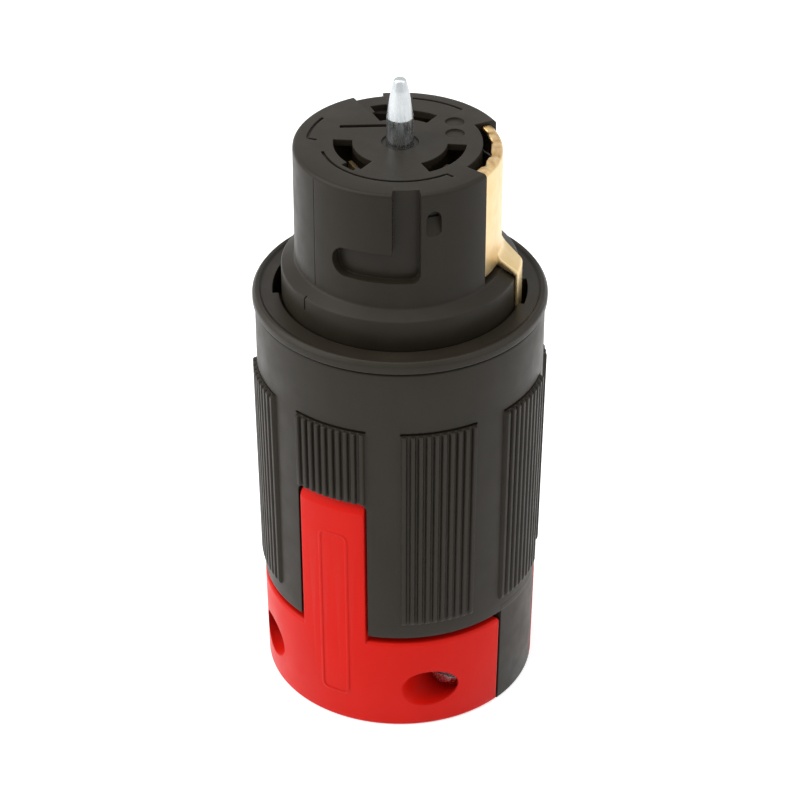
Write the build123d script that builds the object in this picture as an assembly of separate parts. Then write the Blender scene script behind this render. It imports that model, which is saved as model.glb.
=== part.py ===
from build123d import *
from math import cos, degrees, radians, sin, sqrt
import os

# Locking power connector, standing on its cord end with the nose up.
# Millimetres. Origin at the centre of the underside, +Z along the axis towards the nose.
# Azimuths are in degrees from the front (-Y, the middle of the red tongue) towards +X.
# Heights called _z are above the underside.

# Housing
SKIN_R = 34.6
SKIRT_STEP = 0.5
RIM_Z = 28.5
WALL = 3.2
LIP_PROUD = 0.9
LIP_Z = 106.0
RING_WIDTH = 6.5
RING_Z = 109.2
SEAT_Z = 100.0
SHELF = 5.0
SHELF_LAND = 2.0
KEYWAY_DEPTH = 1.9
KEYWAY_HALF_ANGLE = 12.4
KEYWAY_BLIND_DEPTH = 7.8

# Grip panels of the housing
PANELS = 8
RIBS = 10
RIB_PITCH_ANGLE = 3.1
RIB_WIDTH = 0.8
GRIP_BOTTOM_Z = 33.3
GRIP_TOP_Z = 89.0
RIB_PROUD = 1.1
GROOVE_PROUD = 0.1

# Legs of the housing, and the cord clamp halves between them
LEG_HALF_WIDTH = 7.8
CLAMP_GAP = 0.25
CLAMP_TOP_GAP = 0.8
CLAMP_SPLIT = 0.6
CORD_R = 13.0

# Tongues of the clamp halves, which lie in slots of the housing
TONGUE_HALF_WIDTH = 8.75
TONGUE_SINK = 0.7
TONGUE_Z = 67.7
TONGUE_CORNER = 1.5
TONGUE_BEVEL = 0.8
TONGUE_GAP = 0.25
SLOT_FLOOR = 2.6
SLOT_MARGIN = 2.2
LUG_HALF_WIDTH = 4.0
LUG_HEIGHT = 5.0
LUG_Z = 58.0
LUG_DEPTH = 1.8

# Clamp screws
CLAMP_SCREW_INSET = 9.1
CLAMP_SCREW_Z = 11.5
COUNTERBORE_R = 5.3
CLAMP_HEAD_R = 4.2
CLAMP_HEAD = 2.8
CLAMP_SLOT = 1.2
CLAMP_SCREW_R = 2.0
CLAMP_SEAT = 15.7
CLAMP_SCREW_LENGTH = 36.0
HOLE_GAP = 0.15
THREAD_GAP = 0.04
TIP_ROOM = 1.0

# Nose
FACE_Z = 148.1
FLANGE_GAP = 0.6
SHOULDER_WIDTH = 3.3
SHOULDER_Z = 115.9
NOSE_BASE_Z = 118.2
FACE_PLATE = 1.7

# Bayonet channels, pocket and ground notch of the nose
CHANNEL_DEPTH = 2.35
CHANNEL_FLOOR_Z = 124.7
CHANNEL_LEG = 7.6
CHANNEL_LEG_ANGLE = 34.4
CHANNELS = ((25.0, 40.3), (218.8, 236.2))
POCKET = (41.9, 50.2)
POCKET_LOW_Z = 137.0
POCKET_HIGH_Z = 143.5
POCKET_DEPTH = 1.3
NOTCH_DEPTH = 5.8
NOTCH_FLOOR_Z = 118.4
NOTCH_HALF_ANGLE = 31.5
STRIP_AZIMUTH = 113.0

# Arc slots of the face and the cavities behind them, a third of a turn apart
LINES = 3
LINE_AZIMUTH = 84.5
SLOT_INSET = 3.7
SLOT_WIDTH = 4.5
SLOT_HALF_ANGLE = 29.8
SLOT_EXTRAS = ((337.5, 350.5, 1.6), (219.0, 231.5, 3.1))
CAVITY_IN_ROOM = 1.9
CAVITY_OUT_ROOM = 1.1
CAVITY_HALF_WIDTH = 8.0

# Line contacts, their springs and terminals
CONTACT_IN_ROOM = 0.6
CONTACT_OUT_ROOM = 0.8
CONTACT_WALL = 1.0
CONTACT_BASE = 1.4
CONTACT_HALF_WIDTH = 4.2
CONTACT_PINCH = 1.3
CONTACT_FLARE = 0.7
CONTACT_BEND_Z = 110.0
CONTACT_PINCH_Z = 133.0
CONTACT_TIP_Z = 143.6
SPRING_WALL = 0.5
SPRING_GAP = 0.04
SPRING_HALF_WIDTH = 2.6
SPRING_LOW_Z = 103.0
TAIL_WALL = 1.5
TAIL_HALF_WIDTH = 3.2
LUG_BOX_HALF_WIDTH = 5.0
LUG_BOX_DEPTH = 9.0
LUG_BOX_INSET = 2.5
LUG_BOX_SIDE = 1.2
LUG_BOX_LOW_Z = 81.0
LUG_BOX_HIGH_Z = 91.0
WIRE_GAP = 4.1
PLATE = 1.2
PLATE_GAP = 0.2
LINE_SCREW_R = 2.0
LINE_SCREW_PROUD = 0.6

# Terminal carrier behind the nose
CARRIER_ROOM = 7.4
CARRIER = 19.0
SLIDE_GAP = 0.1

# Ground contact strap, its spring and terminal
STRIP_SINK = 1.0
STRIP_WALL = 1.1
STRIP_LOW_Z = 119.5
STRIP_TOP_Z = 147.4
STRIP_SIDE_ANGLE = 0.8
STRIP_LIP = 2.9
STRAP_HALF_ANGLE = 11.5
STRAP_GAP = 0.2
STRAP_RISE = 1.1
STRAP_BEND = 1.2
GROUND_TAIL_Z = 88.0
GROUND_TAIL_AZIMUTH = 120.0
GROUND_TAIL_HALF_WIDTH = 4.0
GROUND_TAIL_END = 4.0
GROUND_TAIL_STEP = 0.6
GROUND_SCREW_INSET = 3.8
GROUND_SCREW_R = 2.0
GROUND_SCREW_FLATS = 7.0
GROUND_HEAD = 2.6
GROUND_SCREW_TIP_Z = 92.0
LEAF_WALL = 0.5
LEAF_REST_HALF_WIDTH = 8.5
LEAF_REST_DROP = 1.8
LEAF_CREST_HALF_WIDTH = 3.4
LEAF_CREST_GAP = 0.9
LEAF_LOW_Z = 124.0
LEAF_HIGH_Z = 143.0

# Assembly screws, which draw the nose and the carrier together on the shelf.
# The ground strap holds the third side.
JOIN_AZIMUTHS = (24.5, 264.5)
JOIN_INSET = 2.5
JOIN_R = 1.75
JOIN_FLATS = 5.5
JOIN_HEAD = 2.4
JOIN_TOP_Z = 108.0

# Pilot pin, pressed into the nose
PIN_R = 3.17
PIN_GAP = 0.05
PIN_FOOT_Z = 121.0
PIN_SHANK = 6.8
PIN_CONE_R = 2.05
PIN_CONE = 7.0
PIN_TIP_R = 1.2
PIN_TIP = 2.8

# How far a cut reaches past the face that it opens, and the reach of a cut that runs right out
OVERLAP = 1.0
FAR = 200.0

# Housing and clamp, worked out from the sizes above
SKIRT_R = SKIN_R - SKIRT_STEP
BORE_R = SKIN_R - WALL
LIP_R = SKIN_R + LIP_PROUD
RING_IN_R = LIP_R - RING_WIDTH
GRIP_R = SKIN_R + RIB_PROUD
GROOVE_R = SKIN_R + GROOVE_PROUD
SHELF_Z = SEAT_Z - SHELF
CARRIER_Z = SHELF_Z - CARRIER
CARRIER_FLATS = 2 * (BORE_R - CARRIER_ROOM)
SHELF_FLATS = CARRIER_FLATS - 2 * SHELF_LAND
CLAMP_TOP_Z = RIM_Z - CLAMP_TOP_GAP
CLAMP_SCREW_X = BORE_R - CLAMP_SCREW_INSET
CLAMP_TIP = CLAMP_SCREW_LENGTH - CLAMP_SEAT
TONGUE_IN = BORE_R - TONGUE_SINK
SLOT_IN = TONGUE_IN - TONGUE_GAP

# Nose and what it holds, worked out inwards from the ring
FLANGE_R = RING_IN_R - FLANGE_GAP
NOSE_R = FLANGE_R - SHOULDER_WIDTH
NOTCH_R = NOSE_R - NOTCH_DEPTH
SLOT_OUT_R = NOTCH_R - SLOT_INSET
SLOT_IN_R = SLOT_OUT_R - SLOT_WIDTH
CAVITY_IN = SLOT_IN_R - CAVITY_IN_ROOM
CAVITY_OUT = SLOT_OUT_R + CAVITY_OUT_ROOM
CONTACT_IN = CAVITY_IN + CONTACT_IN_ROOM
CONTACT_OUT = CAVITY_OUT - CONTACT_OUT_ROOM
LINE_ANGLE = 360 / LINES
STRIP_OUT_R = NOSE_R - STRIP_SINK
STRIP_IN_R = STRIP_OUT_R - STRIP_WALL
STRIP_LIP_R = STRIP_OUT_R - STRIP_LIP
STRAP_IN_R = FLANGE_R + STRAP_GAP
STRAP_OUT_R = STRAP_IN_R + STRIP_WALL
LEAF_CREST = STRIP_IN_R - LEAF_CREST_GAP
LEAF_REST = NOTCH_R - LEAF_REST_DROP

# Terminals, worked out inwards from the sides of the carrier
LUG_BOX_OUT = CARRIER_FLATS / 2 - LUG_BOX_INSET
TAIL_IN = LUG_BOX_OUT - LUG_BOX_DEPTH
TAIL_OUT = TAIL_IN + TAIL_WALL
PLATE_IN = TAIL_OUT + WIRE_GAP
PLATE_OUT = PLATE_IN + PLATE
LINE_SCREW_END = CARRIER_FLATS / 2 + LINE_SCREW_PROUD
GROUND_TAIL_TOP_Z = GROUND_TAIL_Z + STRIP_WALL
GROUND_TAIL_STEP_R = STRAP_IN_R - GROUND_TAIL_STEP
GROUND_SCREW_RADIUS = CARRIER_FLATS / 2 - GROUND_SCREW_INSET
GROUND_TAIL_IN = GROUND_SCREW_RADIUS - GROUND_TAIL_END
JOIN_CIRCLE = SHELF_FLATS / 2 - JOIN_INSET


def spot(radius, azimuth, z=0.0):
    """Point at a radius, azimuth and height."""
    return Vector(radius * sin(radians(azimuth)), -radius * cos(radians(azimuth)), z)


def turned(points, start=0.0, end=360.0):
    """Revolve a closed line of (radius, z) points between two azimuths."""
    face = Plane.XZ * make_face(Polyline(*points, close=True))
    return Rot(0, 0, start - 90) * revolve(face, Axis.Z, end - start)


def sector(in_r, out_r, start, end, low, high):
    """Piece of a tube between two azimuths and two heights."""
    return turned([(in_r, low), (out_r, low), (out_r, high), (in_r, high)], start, end)


def block(low, high):
    """Box between two corners."""
    size = [b - a for a, b in zip(low, high)]
    return Pos(*low) * Box(*size, align=Align.MIN)


def front_block(half_width, near, far, low, high):
    """Box centred on the front, between two distances from the axis and two heights."""
    return block((-half_width, -far, low), (half_width, -near, high))


def bent_plate(points, half_width):
    """Plate bent along a line of (distance from the axis, z) points, centred on the front."""
    side = Plane.YZ * make_face(Polyline(*[(-out, z) for out, z in points], close=True))
    return extrude(side, half_width, both=True)


def rod(radius, start, end):
    """Round bar from one point to another."""
    path = Vector(*end) - Vector(*start)
    return Plane(origin=Vector(*start), z_dir=path) * extrude(Circle(radius), path.length)


def hex_bar(flats, start, end):
    """Hexagonal bar from one point to another."""
    path = Vector(*end) - Vector(*start)
    return Plane(origin=Vector(*start), z_dir=path) * extrude(RegularPolygon(flats / sqrt(3), 6), path.length)


def round_about(shape, azimuths):
    """Copies of a front feature at several azimuths."""
    return [Rot(0, 0, azimuth) * shape for azimuth in azimuths]


def line_azimuths():
    """Azimuths of the line contacts."""
    return [LINE_AZIMUTH + i * LINE_ANGLE for i in range(LINES)]


def housing_shell():
    """Turned form of the housing: wall, shelf, ring and lip."""
    shell = turned([(BORE_R, RIM_Z), (SKIN_R, RIM_Z), (SKIN_R, LIP_Z), (LIP_R, LIP_Z),
                    (LIP_R, RING_Z), (RING_IN_R, RING_Z), (RING_IN_R, SEAT_Z), (0, SEAT_Z),
                    (0, SHELF_Z), (BORE_R, SHELF_Z)])
    return shell - Rot(0, 0, LINE_AZIMUTH) * hex_bar(SHELF_FLATS, (0, 0, 0), (0, 0, FAR))


def housing_legs():
    """Two legs that carry the skin down to the underside, between the clamp halves."""
    tube = sector(BORE_R, SKIRT_R, 0, 360, 0, RIM_Z)
    return tube & block((-FAR, -LEG_HALF_WIDTH, 0), (FAR, LEG_HALF_WIDTH, FAR))


def grip_panels():
    """Panels of upright ribs with grooves between them."""
    rib_half = degrees(RIB_WIDTH / 2 / GRIP_R)
    first = -(RIBS - 1) / 2 * RIB_PITCH_ANGLE
    outline = []
    for middle in [first + i * RIB_PITCH_ANGLE for i in range(RIBS)]:
        outline += [spot(GROOVE_R, middle - rib_half), spot(GRIP_R, middle - rib_half),
                    spot(GRIP_R, middle + rib_half), spot(GROOVE_R, middle + rib_half)]
    root = BORE_R + WALL / 2
    outline += [spot(root, -first), spot(root, first)]
    panel = extrude(make_face(Polyline(*outline, close=True)), GRIP_TOP_Z - GRIP_BOTTOM_Z)
    return round_about(Pos(0, 0, GRIP_BOTTOM_Z) * panel, [i * 360 / PANELS for i in range(PANELS)])


def tongue_bar(margin, near):
    """Bar with the tongue's front view, grown by a margin, from a distance outwards."""
    half, top = TONGUE_HALF_WIDTH + margin, TONGUE_Z + margin
    corner = TONGUE_CORNER + margin
    face = make_face(Polyline((-half, 0), (half, 0), (half, top), (-half, top), close=True))
    corners = face.vertices().group_by(Axis.Y)[-1]
    return Pos(0, -near, 0) * extrude(Plane.XZ * chamfer(corners, corner), SKIN_R)


def body_housing():
    """Ribbed moulded housing with its ring, shelf, legs and tongue slots."""
    pad = front_block(TONGUE_HALF_WIDTH + SLOT_MARGIN, SLOT_IN - SLOT_FLOOR, BORE_R + WALL / 2,
                      RIM_Z, TONGUE_Z + SLOT_MARGIN)
    pad &= turned([(0, RIM_Z), (BORE_R + WALL / 2, RIM_Z), (BORE_R + WALL / 2, FAR), (0, FAR)])
    body = housing_shell() + housing_legs() + round_about(pad, (0, 180)) + grip_panels()
    window = front_block(LUG_HALF_WIDTH + CLAMP_GAP, 0, TONGUE_IN,
                         LUG_Z - CLAMP_GAP, LUG_Z + LUG_HEIGHT + CLAMP_GAP)
    window &= front_block(FAR, BORE_R / 2, FAR, 0, FAR)
    cuts = round_about(tongue_bar(TONGUE_GAP, SLOT_IN), (0, 180)) + round_about(window, (0, 180))
    key_r, half = RING_IN_R + KEYWAY_DEPTH, KEYWAY_HALF_ANGLE
    cuts.append(sector(SHELF_FLATS / 2 - OVERLAP, key_r, STRIP_AZIMUTH - half, STRIP_AZIMUTH + half,
                       SHELF_Z - OVERLAP, FAR))
    back = STRIP_AZIMUTH + 180
    cuts.append(sector(RING_IN_R - OVERLAP, key_r, back - half, back + half,
                       RING_Z - KEYWAY_BLIND_DEPTH, FAR))
    return body - cuts


def clamp_half(front):
    """Cord clamp half with its tongue. The front one takes the screw heads, the rear one the tips."""
    split = front_block(FAR, CLAMP_SPLIT, FAR, 0, FAR)
    body = sector(CORD_R, SKIRT_R, 0, 360, 0, CLAMP_TOP_Z) & split
    leg_half = LEG_HALF_WIDTH + CLAMP_GAP
    body -= (sector(BORE_R - CLAMP_GAP, FAR, 0, 360, 0, FAR)
             & block((-FAR, -leg_half, 0), (FAR, leg_half, FAR)))
    bevel_z = TONGUE_Z - TONGUE_BEVEL
    tongue = turned([(0, CLAMP_TOP_Z - TONGUE_BEVEL), (SKIRT_R, CLAMP_TOP_Z - TONGUE_BEVEL),
                     (SKIRT_R, bevel_z), (SKIRT_R - TONGUE_BEVEL, TONGUE_Z), (0, TONGUE_Z)])
    lug = front_block(LUG_HALF_WIDTH, TONGUE_IN - LUG_DEPTH, TONGUE_IN + OVERLAP, LUG_Z, LUG_Z + LUG_HEIGHT)
    body = body + (tongue & tongue_bar(0, TONGUE_IN)) + lug
    for x in (-CLAMP_SCREW_X, CLAMP_SCREW_X):
        if front:
            body -= rod(CLAMP_SCREW_R + HOLE_GAP, (x, -FAR, CLAMP_SCREW_Z), (x, 0, CLAMP_SCREW_Z))
            body -= rod(COUNTERBORE_R, (x, -FAR, CLAMP_SCREW_Z), (x, -CLAMP_SEAT, CLAMP_SCREW_Z))
        else:
            end = (x, -CLAMP_TIP - TIP_ROOM, CLAMP_SCREW_Z)
            body -= rod(CLAMP_SCREW_R + THREAD_GAP, end, (x, 0, CLAMP_SCREW_Z))
    return body if front else Rot(0, 0, 180) * body


def clamp_screws():
    """Two slotted screws that draw the clamp halves together."""
    screws = []
    for x in (-CLAMP_SCREW_X, CLAMP_SCREW_X):
        seat = (x, -CLAMP_SEAT, CLAMP_SCREW_Z)
        top = (x, -CLAMP_SEAT - CLAMP_HEAD, CLAMP_SCREW_Z)
        body = rod(CLAMP_SCREW_R, (x, CLAMP_TIP, CLAMP_SCREW_Z), seat) + rod(CLAMP_HEAD_R, seat, top)
        slot = front_block(CLAMP_SLOT / 2, CLAMP_SEAT + CLAMP_HEAD / 2, FAR, 0, FAR)
        screws.append(body - Pos(x, 0, 0) * slot)
    return screws


def bayonet_channel(start, end):
    """J-shaped channel down the nose, with a leg to the left and a round end."""
    floor_r, skin = NOSE_R - CHANNEL_DEPTH, NOSE_R + CHANNEL_DEPTH
    low, high = CHANNEL_FLOOR_Z, CHANNEL_FLOOR_Z + CHANNEL_LEG
    end_r = CHANNEL_LEG / 2
    stop = start - CHANNEL_LEG_ANGLE + degrees(end_r / NOSE_R)
    round_end = rod(end_r, spot(NOTCH_R, stop, low + end_r), spot(skin, stop, low + end_r))
    round_end &= sector(floor_r, skin, stop - CHANNEL_LEG_ANGLE, stop + CHANNEL_LEG_ANGLE, 0, FAR)
    return [sector(floor_r, skin, start, end, low, FAR),
            sector(floor_r, skin, stop, (start + end) / 2, low, high), round_end]


def contact_nose():
    """Moulded nose: flange, shoulder, contact cavities, bayonet channels and ground notch."""
    body = turned([(0, SEAT_Z), (FLANGE_R, SEAT_Z), (FLANGE_R, SHOULDER_Z), (NOSE_R, NOSE_BASE_Z),
                   (NOSE_R, FACE_Z), (0, FACE_Z)])
    plate_z = FACE_Z - FACE_PLATE
    cuts = []
    for middle in line_azimuths():
        cuts.append(Rot(0, 0, middle) * front_block(CAVITY_HALF_WIDTH, CAVITY_IN, CAVITY_OUT, 0, plate_z))
        cuts.append(sector(SLOT_IN_R, SLOT_OUT_R, middle - SLOT_HALF_ANGLE,
                           middle + SLOT_HALF_ANGLE, plate_z - OVERLAP, FAR))
    for start, end, extra in SLOT_EXTRAS:
        cuts.append(sector(SLOT_IN_R + OVERLAP, SLOT_OUT_R + extra, start, end, plate_z, FAR))
    for start, end in CHANNELS:
        cuts += bayonet_channel(start, end)
    cuts.append(sector(NOSE_R - POCKET_DEPTH, FAR, *POCKET, POCKET_LOW_Z, POCKET_HIGH_Z))
    cuts.append(sector(NOTCH_R, FAR, STRIP_AZIMUTH - NOTCH_HALF_ANGLE,
                       STRIP_AZIMUTH + NOTCH_HALF_ANGLE, NOTCH_FLOOR_Z, FAR))
    cuts.append(rod(PIN_R + PIN_GAP, (0, 0, PIN_FOOT_Z), (0, 0, FAR)))
    for azimuth in JOIN_AZIMUTHS:
        end = spot(JOIN_CIRCLE, azimuth, JOIN_TOP_Z + TIP_ROOM)
        cuts.append(rod(JOIN_R + THREAD_GAP, spot(JOIN_CIRCLE, azimuth), end))
    return body - cuts


def pilot_pin():
    """Turned pilot pin with a tapered tip."""
    shoulder_z = FACE_Z + PIN_SHANK
    cone_z = shoulder_z + PIN_CONE
    return turned([(0, PIN_FOOT_Z), (PIN_R, PIN_FOOT_Z), (PIN_R, shoulder_z), (PIN_CONE_R, cone_z),
                   (PIN_TIP_R, cone_z + PIN_TIP), (0, cone_z + PIN_TIP)])


def terminal_carrier():
    """Six-sided insulator behind the nose, with a chamber for each terminal."""
    body = hex_bar(CARRIER_FLATS, (0, 0, CARRIER_Z), (0, 0, SHELF_Z))
    body = Rot(0, 0, LINE_AZIMUTH) * body
    chamber = front_block(LUG_BOX_HALF_WIDTH + SLIDE_GAP, TAIL_IN - SLIDE_GAP, FAR,
                          0, LUG_BOX_HIGH_Z + SLIDE_GAP)
    passage = front_block(TAIL_HALF_WIDTH + SLIDE_GAP, TAIL_IN - SLIDE_GAP, TAIL_OUT + SLIDE_GAP, 0, FAR)
    cuts = round_about(chamber, line_azimuths()) + round_about(passage, line_azimuths())
    ground = [front_block(GROUND_TAIL_HALF_WIDTH + SLIDE_GAP, GROUND_TAIL_IN - SLIDE_GAP, FAR,
                          0, GROUND_TAIL_TOP_Z),
              front_block(GROUND_SCREW_R + HOLE_GAP, GROUND_SCREW_RADIUS - GROUND_SCREW_R - HOLE_GAP,
                          FAR, 0, GROUND_SCREW_TIP_Z + TIP_ROOM)]
    cuts += [Rot(0, 0, GROUND_TAIL_AZIMUTH) * cut for cut in ground]
    notch = front_block(JOIN_R + HOLE_GAP, JOIN_CIRCLE, FAR, 0, FAR)
    notch += rod(JOIN_R + HOLE_GAP, (0, -JOIN_CIRCLE, 0), (0, -JOIN_CIRCLE, FAR))
    return body - (cuts + round_about(notch, JOIN_AZIMUTHS))


def assembly_screws():
    """Two hexagon-head screws from the carrier's underside into the nose."""
    screws = []
    for azimuth in JOIN_AZIMUTHS:
        seat = spot(JOIN_CIRCLE, azimuth, CARRIER_Z)
        body = rod(JOIN_R, seat, spot(JOIN_CIRCLE, azimuth, JOIN_TOP_Z))
        screws.append(body + hex_bar(JOIN_FLATS, spot(JOIN_CIRCLE, azimuth, CARRIER_Z - JOIN_HEAD), seat))
    return screws


def line_contact(middle):
    """Two sprung leaves on a base, with a tail down to the box of the terminal."""
    near, far, wall, pinch = CONTACT_IN, CONTACT_OUT, CONTACT_WALL, CONTACT_PINCH
    flare = pinch - CONTACT_FLARE
    base_z, bend_z, pinch_z, tip_z = SHELF_Z + CONTACT_BASE, CONTACT_BEND_Z, CONTACT_PINCH_Z, CONTACT_TIP_Z
    body = bent_plate([(near, SHELF_Z), (far, SHELF_Z), (far, bend_z), (far - pinch, pinch_z),
                       (far - flare, tip_z), (far - flare - wall, tip_z), (far - pinch - wall, pinch_z),
                       (far - wall, bend_z), (far - wall, base_z), (near + wall, base_z),
                       (near + wall, bend_z), (near + wall + pinch, pinch_z), (near + wall + flare, tip_z),
                       (near + flare, tip_z), (near + pinch, pinch_z), (near, bend_z)],
                      CONTACT_HALF_WIDTH)
    body += front_block(TAIL_HALF_WIDTH, TAIL_IN, TAIL_OUT, LUG_BOX_LOW_Z, SHELF_Z)
    body += front_block(LUG_BOX_HALF_WIDTH, TAIL_IN, LUG_BOX_OUT, LUG_BOX_LOW_Z, LUG_BOX_HIGH_Z)
    body -= front_block(LUG_BOX_HALF_WIDTH - LUG_BOX_SIDE, TAIL_OUT, PLATE_OUT + SLIDE_GAP, 0, SHELF_Z)
    middle_z = (LUG_BOX_LOW_Z + LUG_BOX_HIGH_Z) / 2
    body -= rod(LINE_SCREW_R + THREAD_GAP, (0, -FAR, middle_z), (0, -PLATE_IN, middle_z))
    return Rot(0, 0, middle) * body


def contact_spring(middle):
    """Steel leaf that backs the outer leaf of a line contact."""
    low = CONTACT_OUT + SPRING_GAP
    high = low - CONTACT_PINCH
    wall = SPRING_WALL
    leaf = bent_plate([(low, SPRING_LOW_Z), (low + wall, SPRING_LOW_Z), (low + wall, CONTACT_BEND_Z),
                       (high + wall, CONTACT_PINCH_Z), (high, CONTACT_PINCH_Z), (low, CONTACT_BEND_Z)],
                      SPRING_HALF_WIDTH)
    return Rot(0, 0, middle) * leaf


def wire_plate(middle):
    """Plate that the terminal screw presses on the wire."""
    half = LUG_BOX_HALF_WIDTH - LUG_BOX_SIDE - PLATE_GAP
    return Rot(0, 0, middle) * front_block(half, PLATE_IN, PLATE_OUT, LUG_BOX_LOW_Z, LUG_BOX_HIGH_Z)


def line_terminal_screws():
    """Three headless screws that press the plates on the wires."""
    middle_z = (LUG_BOX_LOW_Z + LUG_BOX_HIGH_Z) / 2
    one = rod(LINE_SCREW_R, (0, -PLATE_OUT, middle_z), (0, -LINE_SCREW_END, middle_z))
    return round_about(one, line_azimuths())


def ground_contact():
    """Brass ground strap: sprung strip in the nose's notch, foot over the shoulder, and tail."""
    half = NOTCH_HALF_ANGLE - STRIP_SIDE_ANGLE
    strip = turned([(STRIP_IN_R, STRIP_LOW_Z), (STRIP_OUT_R, STRIP_LOW_Z), (STRIP_OUT_R, STRIP_TOP_Z),
                    (STRIP_LIP_R, STRIP_TOP_Z), (STRIP_LIP_R, STRIP_TOP_Z - STRIP_WALL),
                    (STRIP_IN_R, STRIP_TOP_Z - STRIP_WALL)],
                   STRIP_AZIMUTH - half, STRIP_AZIMUTH + half)
    top_z, bend = SHOULDER_Z + STRAP_RISE, STRAP_BEND
    foot = turned([(STRIP_IN_R, STRIP_LOW_Z), (STRAP_IN_R, top_z), (STRAP_IN_R, GROUND_TAIL_TOP_Z),
                   (GROUND_TAIL_STEP_R, GROUND_TAIL_TOP_Z), (GROUND_TAIL_STEP_R, GROUND_TAIL_Z),
                   (STRAP_OUT_R, GROUND_TAIL_Z), (STRAP_OUT_R, top_z), (STRAP_OUT_R - bend, top_z + bend),
                   (STRIP_OUT_R, STRIP_LOW_Z + bend)],
                  STRIP_AZIMUTH - STRAP_HALF_ANGLE, STRIP_AZIMUTH + STRAP_HALF_ANGLE)
    tail = front_block(GROUND_TAIL_HALF_WIDTH, GROUND_TAIL_IN, GROUND_TAIL_STEP_R + STRIP_WALL,
                       GROUND_TAIL_Z, GROUND_TAIL_TOP_Z)
    tail -= rod(GROUND_SCREW_R + THREAD_GAP, (0, -GROUND_SCREW_RADIUS, 0), (0, -GROUND_SCREW_RADIUS, FAR))
    return strip + foot + Rot(0, 0, GROUND_TAIL_AZIMUTH) * tail


def ground_spring():
    """Bowed leaf behind the ground strip, which presses it outwards."""
    bends = [(-LEAF_REST_HALF_WIDTH, LEAF_REST), (-LEAF_CREST_HALF_WIDTH, LEAF_CREST),
             (LEAF_CREST_HALF_WIDTH, LEAF_CREST), (LEAF_REST_HALF_WIDTH, LEAF_REST)]
    inner = [(x, -out) for x, out in bends]
    outer = [(x, -out - LEAF_WALL) for x, out in reversed(bends)]
    leaf = extrude(make_face(Polyline(*inner, *outer, close=True)), LEAF_HIGH_Z - LEAF_LOW_Z)
    return Rot(0, 0, STRIP_AZIMUTH) * Pos(0, 0, LEAF_LOW_Z) * leaf


def ground_terminal_screw():
    """Hexagon-head screw of the ground terminal, driven from below."""
    low_z = GROUND_TAIL_Z - GROUND_HEAD
    seat = (0, -GROUND_SCREW_RADIUS, GROUND_TAIL_Z)
    body = rod(GROUND_SCREW_R, seat, (0, -GROUND_SCREW_RADIUS, GROUND_SCREW_TIP_Z))
    body += hex_bar(GROUND_SCREW_FLATS, (0, -GROUND_SCREW_RADIUS, low_z), seat)
    return Rot(0, 0, GROUND_TAIL_AZIMUTH) * body


def save(name, shape):
    """Write one node, from a solid or from a list of separate solids."""
    solids = [one for item in (shape if isinstance(shape, list) else [shape]) for one in item.solids()]
    part = solids[0] if len(solids) == 1 else Compound(solids)
    export_step(part, os.path.join("parts", name + ".step"))


def main():
    """Build every node and write it to parts/."""
    os.makedirs("parts", exist_ok=True)
    save("body_housing", body_housing())
    save("contact_nose", contact_nose())
    save("terminal_carrier", terminal_carrier())
    for letter, middle in zip("abc", line_azimuths()):
        save("line_contact_" + letter, line_contact(middle))
        save("contact_spring_" + letter, contact_spring(middle))
        save("wire_plate_" + letter, wire_plate(middle))
    save("line_terminal_screws", line_terminal_screws())
    save("ground_contact", ground_contact())
    save("ground_spring", ground_spring())
    save("ground_terminal_screw", ground_terminal_screw())
    save("pilot_pin", pilot_pin())
    save("assembly_screws", assembly_screws())
    save("cord_clamp_front", clamp_half(True))
    save("cord_clamp_rear", clamp_half(False))
    save("clamp_screws", clamp_screws())


main()
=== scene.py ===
from math import asin, atan2, cos, degrees, hypot, pi, radians, sin, sqrt, tan

import bmesh
import bpy
from mathutils import Matrix, Vector


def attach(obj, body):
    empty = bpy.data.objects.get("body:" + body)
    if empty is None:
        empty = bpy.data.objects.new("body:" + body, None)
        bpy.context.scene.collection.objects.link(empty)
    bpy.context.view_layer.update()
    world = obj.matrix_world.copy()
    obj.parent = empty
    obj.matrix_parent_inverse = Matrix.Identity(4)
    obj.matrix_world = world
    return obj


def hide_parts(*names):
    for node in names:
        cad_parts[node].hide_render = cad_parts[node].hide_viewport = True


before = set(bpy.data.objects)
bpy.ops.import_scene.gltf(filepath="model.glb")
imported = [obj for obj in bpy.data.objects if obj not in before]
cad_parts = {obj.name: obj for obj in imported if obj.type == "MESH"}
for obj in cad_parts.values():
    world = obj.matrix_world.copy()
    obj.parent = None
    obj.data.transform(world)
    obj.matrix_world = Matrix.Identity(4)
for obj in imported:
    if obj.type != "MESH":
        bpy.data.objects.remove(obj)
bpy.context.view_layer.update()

# Sizes are in millimetres and become metres when a mesh is made. Azimuths are in degrees
# from the front (-Y, the middle of the red tongue) towards +X, as in the CAD source.
# Names that end in _EDGE are radii of rounded edges, and outlines give a corner's rounding
# as their third number.
MM = 0.001

# Nearly nothing, as a size or an angle, and distances at which points are welded or snapped
TINY = 1e-6
WELD = 1e-7
SNAP = 1e-5

# Reach of cutters past the part: out from the axis, under the underside and over the face
OUTSIDE = 45.0
UNDER = -1.0
OVER_FACE_Z = 152.0
OVER_MARKS = 3.0

# Housing skin, ring and shelf
FOOT_R = 33.85
FOOT_EDGE = 0.6
RIM_R = 34.28
RIM_Z = 27.6
RIM_EDGE = 1.2
INNER_EDGE = 0.3
INSIDE_START_Z = 40.0
SKIN_START_Z = 32.0
COLLAR_R = 34.9
COLLAR_Z = 97.0
BORE_R = 31.4
LIP_R = 35.5
RING_IN_R = 29.0
RING_Z = 108.8
CREST_Z = 109.5
SEAT_Z = 100.0
SHELF_Z = 95.0
SHELF_IN_R = 22.5

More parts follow.
